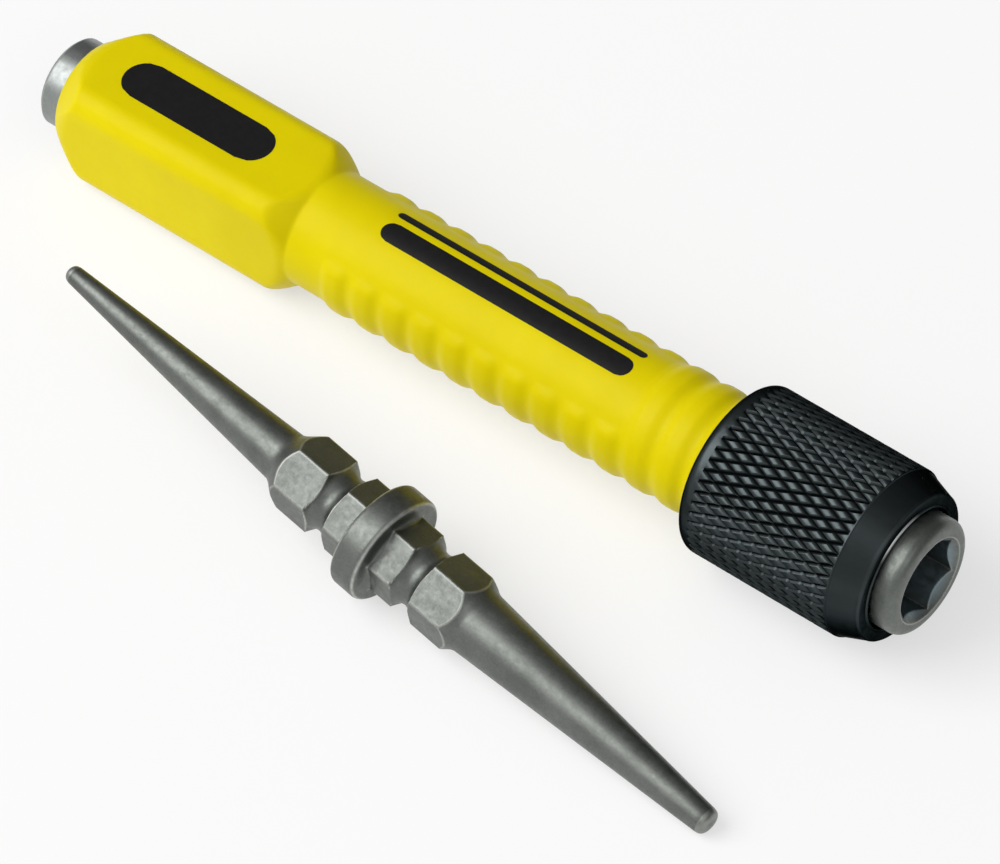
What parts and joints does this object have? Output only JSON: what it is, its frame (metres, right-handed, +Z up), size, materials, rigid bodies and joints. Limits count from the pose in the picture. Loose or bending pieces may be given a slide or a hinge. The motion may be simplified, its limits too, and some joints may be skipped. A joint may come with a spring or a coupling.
{
  "type": "nail setter",
  "caption": "Nail setter with a square-headed ribbed grip over a steel striking rod, a sprung knurled bit collar, and a loose double-ended nail set bit beside it.",
  "frame": {"origin": "on the table, under the middle of the set's footprint", "axes": "+X along the holder toward its socket, +Z up from the table the set lies on, +Y from the loose bit toward the holder"},
  "size_m": [0.0912, 0.035, 0.0158],
  "materials": {
    "grip_plastic": "satin moulded",
    "tool_steel": "satin turned",
    "black_oxide_steel": "black oxide, knurled",
    "plain_steel": "plain",
    "spring_wire": "drawn wire",
    "ball_steel": "polished",
    "bit_steel": "satin hardened"
  },
  "bodies": {
    "holder": {"grip": "grip_plastic", "striking_rod": "tool_steel", "chuck_barrel": "tool_steel", "spring_washer": "plain_steel", "snap_ring": "spring_wire", "collar_spring": "spring_wire"},
    "spring_seat": {"spring_seat": "plain_steel"},
    "collar": {"knurled_collar": "black_oxide_steel"},
    "ball_left": {"lock_ball_left": "ball_steel"},
    "ball_right": {"lock_ball_right": "ball_steel"},
    "bit": {"nail_set_bit": "bit_steel"}
  },
  "joints": [
    {"name": "collar_slide", "type": "slide", "parent": "holder", "child": "spring_seat", "axis": [0.9995, 0, 0.0327], "range_m": [0, 0.003], "stiffness_N_per_m": 900, "springref_m": -0.004, "deforming": ["collar_spring"]},
    {"name": "collar_spin", "type": "hinge", "parent": "spring_seat", "child": "collar", "pos_m": [0.02539, 0.00984, 0.00765], "axis": [0.9995, 0, 0.0327], "continuous": true},
    {"name": "ball_left_out", "type": "slide", "parent": "holder", "child": "ball_left", "axis": [0, 1, 0], "range_m": [0, 0.00062]},
    {"name": "ball_right_out", "type": "slide", "parent": "holder", "child": "ball_right", "axis": [0, -1, 0], "range_m": [0, 0.00062]},
    {"name": "bit_lift", "type": "slide", "parent": "holder", "child": "bit", "axis": [0, 0, 1], "range_m": [0, 0.06]}
  ],
  "couplings": [
    {"joint": "ball_left_out", "follows": "collar_slide", "ratio": 0.2},
    {"joint": "ball_right_out", "follows": "collar_slide", "ratio": 0.2}
  ]
}
